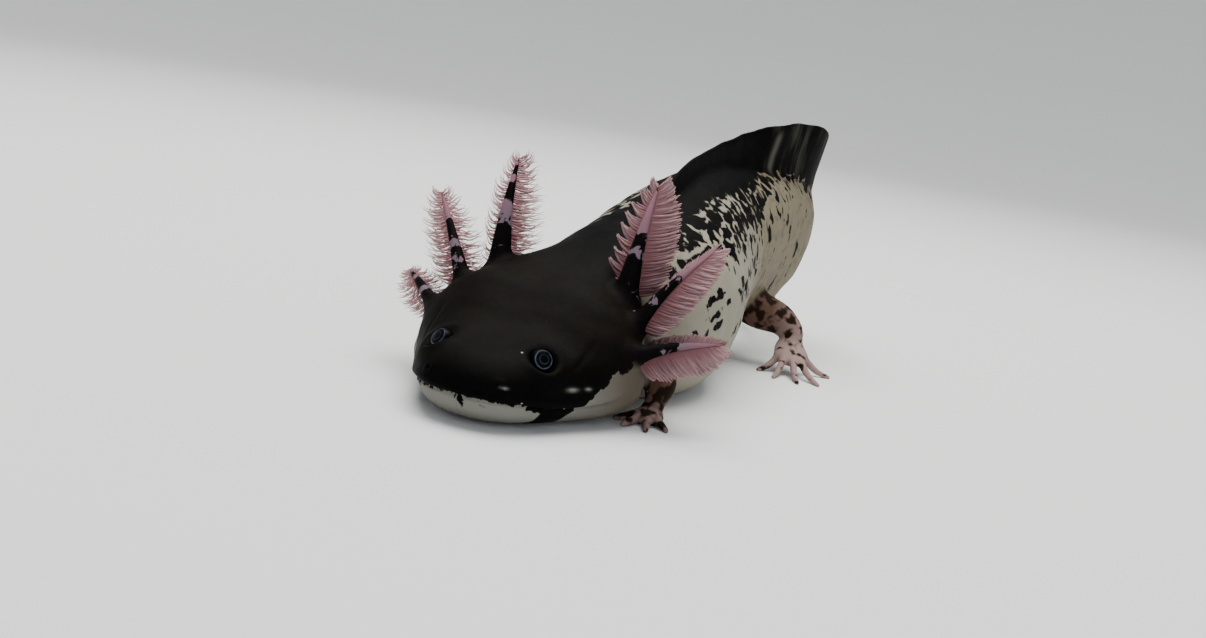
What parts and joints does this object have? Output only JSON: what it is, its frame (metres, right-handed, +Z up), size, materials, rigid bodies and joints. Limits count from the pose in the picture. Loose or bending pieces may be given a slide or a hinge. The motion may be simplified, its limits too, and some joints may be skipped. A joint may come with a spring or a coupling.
{
  "type": "axolotl model",
  "caption": "Life-size still model of a dark, pale-bellied axolotl walking with its chin on the floor, feathery gills spread and the tail bent round behind it.",
  "frame": {"origin": "middle of the footprint, on the floor", "axes": "+Z up; the head faces -Y and the animal's left side is towards +X"},
  "size_m": [0.097, 0.1688, 0.0553],
  "materials": {
    "dark_skin": "moist brown-black skin, satin",
    "mottled_skin": "moist skin, black back breaking into blotches over a cream belly",
    "pale_skin": "moist cream skin, satin",
    "limb_skin": "moist pinkish skin with dark brown blotches",
    "foot_skin": "thin pale pink skin",
    "fin_skin": "thin black fin membrane with pale streaks",
    "gill_skin": "dark stalks with soft pink filaments",
    "eye_surface": "black glossy eye with thin blue-grey rings"
  },
  "bodies": {
    "root": {"dorsal_fin_tail": "fin_skin", "dorsal_fin_tail_base": "fin_skin", "dorsal_fin_trunk": "fin_skin", "eye_left": "eye_surface", "eye_right": "eye_surface", "foot_left": "foot_skin", "foot_right": "foot_skin", "forearm_left": "limb_skin", "forearm_right": "limb_skin", "gill_left_lower": "gill_skin", "gill_left_middle": "gill_skin", "gill_left_upper": "gill_skin", "gill_right_lower": "gill_skin", "gill_right_middle": "gill_skin", "gill_right_upper": "gill_skin", "hand_left": "foot_skin", "hand_right": "foot_skin", "head": "dark_skin", "lower_jaw": "pale_skin", "neck": "dark_skin", "shin_left": "limb_skin", "shin_right": "limb_skin", "tail_base": "mottled_skin", "tail_end": "mottled_skin", "tail_middle": "mottled_skin", "thigh_left": "limb_skin", "thigh_right": "limb_skin", "trunk_front": "mottled_skin", "trunk_rear": "mottled_skin", "upper_arm_left": "limb_skin", "upper_arm_right": "limb_skin", "ventral_fin_tail": "fin_skin", "ventral_fin_tail_base": "fin_skin"}
  },
  "joints": []
}
